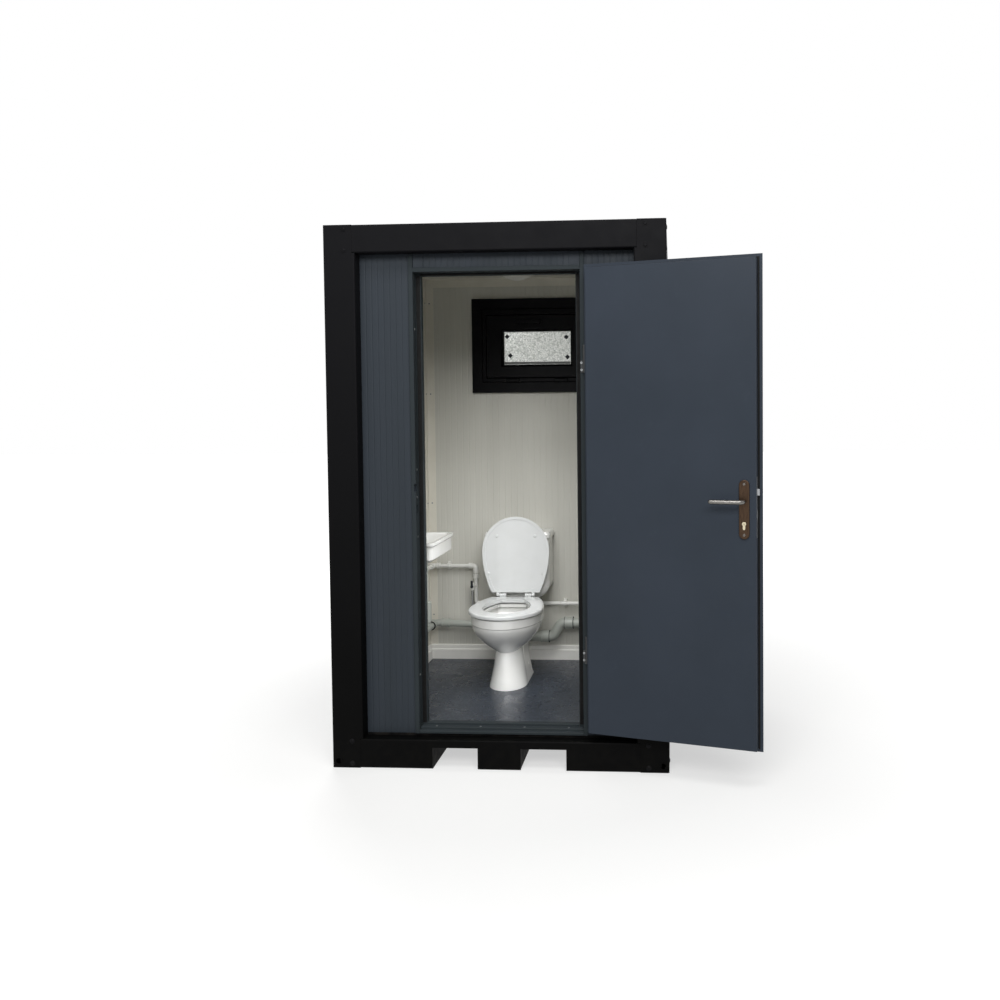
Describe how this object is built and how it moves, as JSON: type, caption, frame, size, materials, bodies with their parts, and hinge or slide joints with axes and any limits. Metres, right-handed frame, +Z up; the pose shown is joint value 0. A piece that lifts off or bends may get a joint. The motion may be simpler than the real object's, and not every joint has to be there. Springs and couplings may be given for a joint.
{
  "type": "portable toilet cabin",
  "caption": "Steel-framed toilet cabin with fork pockets, ribbed panels, a hinged steel door, a tilting window, a close-coupled toilet, a wall basin and their pipes.",
  "frame": {"origin": "centre of the base on the ground, under the fork tunnels' skid plate", "axes": "+Z up, the door faces -Y, +X is to the right of a person who looks at the door"},
  "size_m": [1.8932, 1.5028, 2.4],
  "materials": {
    "frame_paint": "satin black powder coat",
    "tunnel_steel": "black paint, duller than the frame",
    "bolt_zinc": "bolts painted with the frame",
    "roof_steel": "anthracite coated sheet",
    "ceiling_white": "grey-white coated skin",
    "floor_wood": "raw plywood",
    "floor_vinyl": "dark grey speckled vinyl",
    "trim_plastic": "grey-white trim",
    "wall_steel": "anthracite outside, grey-white inside",
    "door_frame_paint": "anthracite powder coat",
    "door_paint": "anthracite powder coat",
    "seal_rubber": "black rubber",
    "hinge_steel": "dark steel",
    "lock_steel": "steel",
    "handle_bronze": "dark bronzed steel",
    "lever_steel": "brushed stainless",
    "cylinder_nickel": "nickel-plated brass",
    "window_black": "black plastic",
    "frosted_glass": "frosted",
    "sanitary_white": "white glaze",
    "seat_plastic": "white",
    "chrome": "polished",
    "waste_grey": "grey pipe plastic",
    "water_white": "white pipe plastic",
    "valve_blue": "dark blue",
    "hose_braid": "braided steel",
    "lamp_opal": "opal diffuser"
  },
  "bodies": {
    "cabin": {"base_beams_long": "frame_paint", "base_beams_side": "frame_paint", "basin": "sanitary_white", "basin_waste": "waste_grey", "ceiling_lamp": "lamp_opal", "ceiling_panel": "ceiling_white", "cistern": "sanitary_white", "cistern_hose": "hose_braid", "cistern_lid": "sanitary_white", "door_frame_head": "door_frame_paint", "door_frame_hinge_jamb": "door_frame_paint", "door_frame_lock_jamb": "door_frame_paint", "door_threshold": "door_frame_paint", "floor_board": "floor_wood", "floor_covering": "floor_vinyl", "floor_joists": "tunnel_steel", "fork_tunnels": "tunnel_steel", "frame_bolts": "bolt_zinc", "hinges_frame_side": "hinge_steel", "inner_trims": "trim_plastic", "post_front_left": "frame_paint", "post_front_right": "frame_paint", "post_rear_left": "frame_paint", "post_rear_right": "frame_paint", "roof_beams_long": "frame_paint", "roof_beams_side": "frame_paint", "roof_sheet": "roof_steel", "seat_hinges": "chrome", "skirting": "trim_plastic", "soil_bend": "waste_grey", "tap_body": "chrome", "toilet_pan": "sanitary_white", "wall_front_header": "wall_steel", "wall_front_left": "wall_steel", "wall_front_right": "wall_steel", "wall_left": "wall_steel", "wall_rear": "wall_steel", "wall_right": "wall_steel", "water_pipes": "water_white", "window_frame": "window_black"},
    "door": {"door_outer_leaf": "door_paint", "door_inner_leaf": "door_paint", "door_gasket": "seal_rubber", "hinges_door_side": "hinge_steel", "lock_case": "lock_steel", "backplates": "handle_bronze", "lock_cylinder": "cylinder_nickel"},
    "levers": {"door_levers": "lever_steel"},
    "latch": {"latch_bolt": "lock_steel"},
    "plug": {"cylinder_plug": "cylinder_nickel"},
    "dead_bolt": {"dead_bolt": "lock_steel"},
    "sash": {"window_sash": "window_black", "window_pane": "frosted_glass"},
    "window_handle": {"window_handle": "window_black"},
    "seat_ring": {"seat_ring": "seat_plastic"},
    "seat_lid": {"seat_lid": "seat_plastic"},
    "button_full": {"flush_button_full": "chrome"},
    "button_half": {"flush_button_half": "chrome"},
    "tap_lever": {"tap_lever": "chrome"},
    "valve_lever": {"valve_lever": "valve_blue"}
  },
  "joints": [
    {"name": "door_swing", "type": "hinge", "parent": "cabin", "child": "door", "pos_m": [0.39, -0.589, 1.169], "axis": [0, 0, 1], "range_deg": [-166, 2]},
    {"name": "lever_turn", "type": "hinge", "parent": "door", "child": "levers", "pos_m": [1.0668, -0.79279, 1.208], "axis": [-0.2419, -0.9703, 0], "range_deg": [0, 38], "stiffness_Nm_per_rad": 2, "springref_deg": -28.65},
    {"name": "latch_slide", "type": "slide", "parent": "door", "child": "latch", "axis": [-0.9703, 0.2419, 0], "range_m": [0, 0.0107]},
    {"name": "key_turn", "type": "hinge", "parent": "door", "child": "plug", "pos_m": [1.0668, -0.79279, 1.116], "axis": [-0.2419, -0.9703, 0], "range_deg": [0, 360]},
    {"name": "bolt_slide", "type": "slide", "parent": "door", "child": "dead_bolt", "axis": [0.9703, -0.2419, 0], "range_m": [0, 0.0201]},
    {"name": "sash_tilt", "type": "hinge", "parent": "cabin", "child": "sash", "pos_m": [0.011, 0.488, 1.788], "axis": [1, 0, 0], "range_deg": [0, 15]},
    {"name": "window_handle_turn", "type": "hinge", "parent": "sash", "child": "window_handle", "pos_m": [0.025, 0.467, 2.0855], "axis": [0, 1, 0], "range_deg": [0, 90]},
    {"name": "seat_ring_lift", "type": "hinge", "parent": "cabin", "child": "seat_ring", "pos_m": [-0.088, 0.275, 0.585], "axis": [-1, 0, 0], "range_deg": [0, 88]},
    {"name": "seat_lid_swing", "type": "hinge", "parent": "cabin", "child": "seat_lid", "pos_m": [-0.088, 0.275, 0.585], "axis": [-1, 0, 0], "range_deg": [-94, 0]},
    {"name": "full_flush_press", "type": "slide", "parent": "cabin", "child": "button_full", "axis": [0, 0, -1], "range_m": [0, 0.006], "stiffness_N_per_m": 400, "springref_m": -0.004},
    {"name": "half_flush_press", "type": "slide", "parent": "cabin", "child": "button_half", "axis": [0, 0, -1], "range_m": [0, 0.006], "stiffness_N_per_m": 400, "springref_m": -0.004},
    {"name": "tap_turn", "type": "hinge", "parent": "cabin", "child": "tap_lever", "pos_m": [-0.599, -0.0785, 1.012], "axis": [0, 0, 1], "range_deg": [0, 90]},
    {"name": "stop_valve_turn", "type": "hinge", "parent": "cabin", "child": "valve_lever", "pos_m": [-0.365, 0.437, 0.598], "axis": [0, -1, 0], "range_deg": [0, 90]}
  ],
  "couplings": [
    {"joint": "latch_slide", "follows": "lever_turn", "m_per_rad": 0.015832},
    {"joint": "bolt_slide", "follows": "key_turn", "m_per_rad": 0.0031831}
  ]
}
